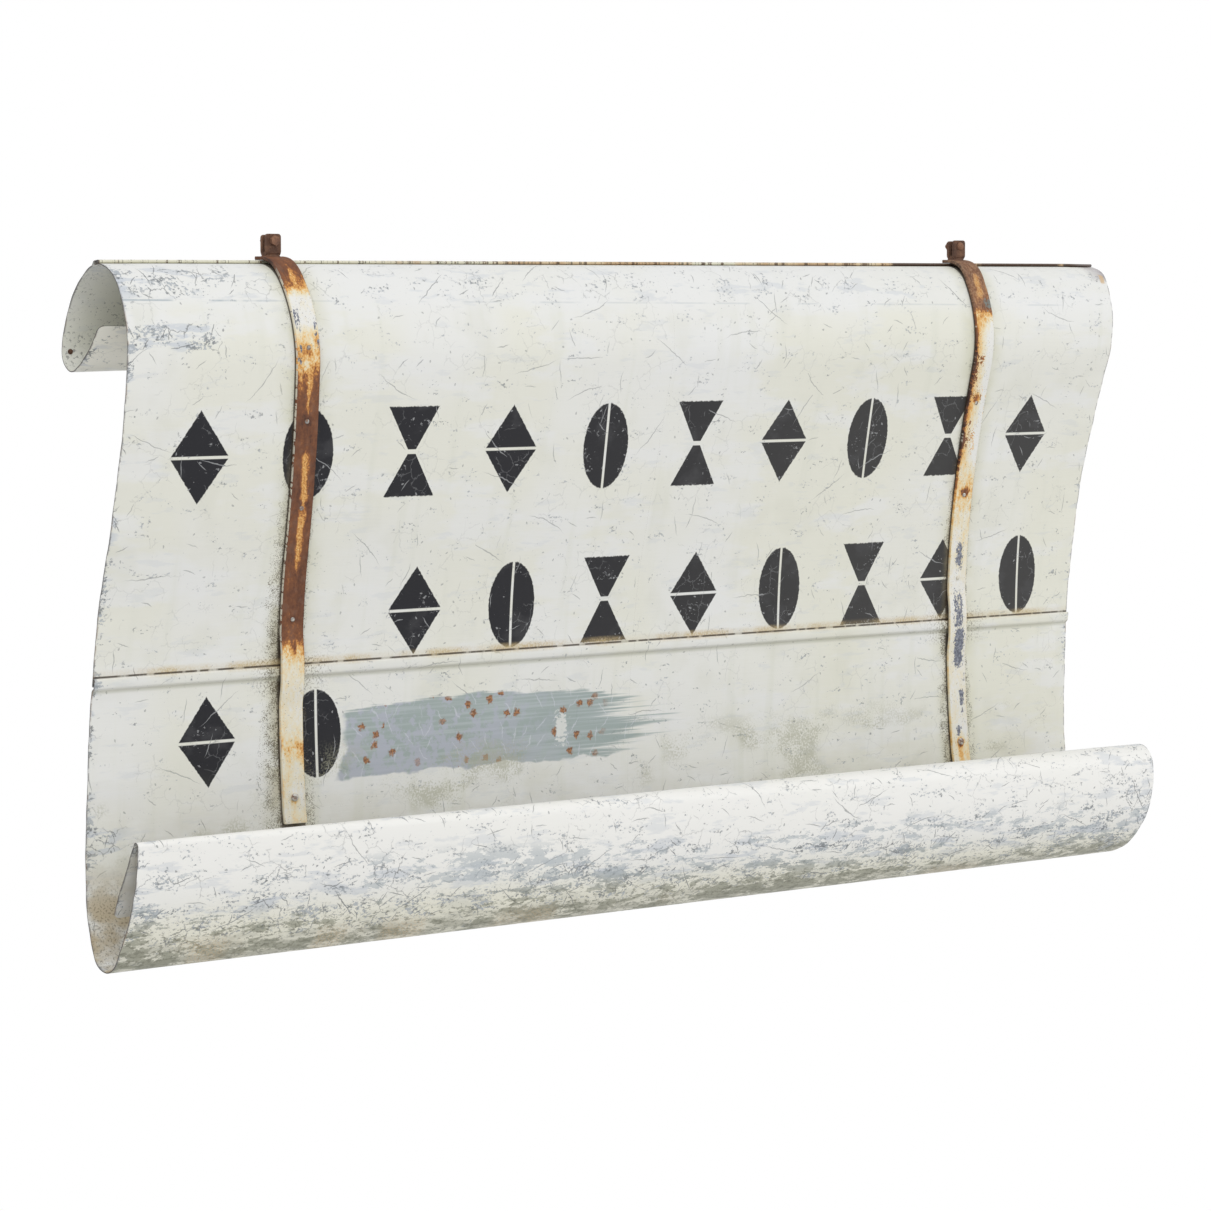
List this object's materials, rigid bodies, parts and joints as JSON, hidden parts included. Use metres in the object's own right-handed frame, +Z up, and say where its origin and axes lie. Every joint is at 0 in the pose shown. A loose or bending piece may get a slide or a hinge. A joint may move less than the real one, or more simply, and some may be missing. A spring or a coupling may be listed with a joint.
{
  "type": "sheet-metal shop sign",
  "caption": "Scroll-shaped sheet-metal shop sign with rolled top and bottom edges, hook seams, flat-bar straps and clevises for hanging bolts.",
  "frame": {"origin": "midway between the two hanging bolts, on their axes", "axes": "+X along the sign to the viewer's right, +Y from the lettered face to the back, +Z up"},
  "size_m": [1.5, 0.222, 0.8123],
  "materials": {
    "cream_paint": "worn cream paint, scratched and stained",
    "rusty_iron": "rusted iron with remains of paint",
    "dull_steel": "dull bare steel"
  },
  "bodies": {
    "sign": {"roll_panel": "cream_paint", "face_panel": "cream_paint", "tail_panel": "cream_paint", "roll_rivet": "rusty_iron", "left_strap": "rusty_iron", "left_clevis": "rusty_iron", "left_end_screw": "dull_steel", "left_end_nut": "dull_steel", "left_rivet_low": "dull_steel", "left_rivet_low_burr": "dull_steel", "left_rivet_middle": "dull_steel", "left_rivet_middle_burr": "dull_steel", "left_rivet_high": "dull_steel", "left_rivet_high_burr": "dull_steel", "left_rivet_top": "dull_steel", "left_rivet_top_burr": "dull_steel", "right_strap": "rusty_iron", "right_clevis": "rusty_iron", "right_end_screw": "dull_steel", "right_end_nut": "dull_steel", "right_rivet_low": "dull_steel", "right_rivet_low_burr": "dull_steel", "right_rivet_middle": "dull_steel", "right_rivet_middle_burr": "dull_steel", "right_rivet_top": "dull_steel", "right_rivet_top_burr": "dull_steel"},
    "left_hanging_bolt": {"left_bolt": "rusty_iron", "left_bolt_washer": "rusty_iron", "left_bolt_nut": "rusty_iron"},
    "right_hanging_bolt": {"right_bolt": "rusty_iron", "right_bolt_washer": "rusty_iron", "right_bolt_nut": "rusty_iron"}
  },
  "joints": [
    {"name": "left_bolt_turn", "type": "hinge", "parent": "sign", "child": "left_hanging_bolt", "pos_m": [-0.533, 0.00328, -0.00131], "axis": [0, 1, 0], "continuous": true},
    {"name": "right_bolt_turn", "type": "hinge", "parent": "sign", "child": "right_hanging_bolt", "pos_m": [0.504, -0.00328, 0.00131], "axis": [0, 1, 0], "continuous": true}
  ]
}
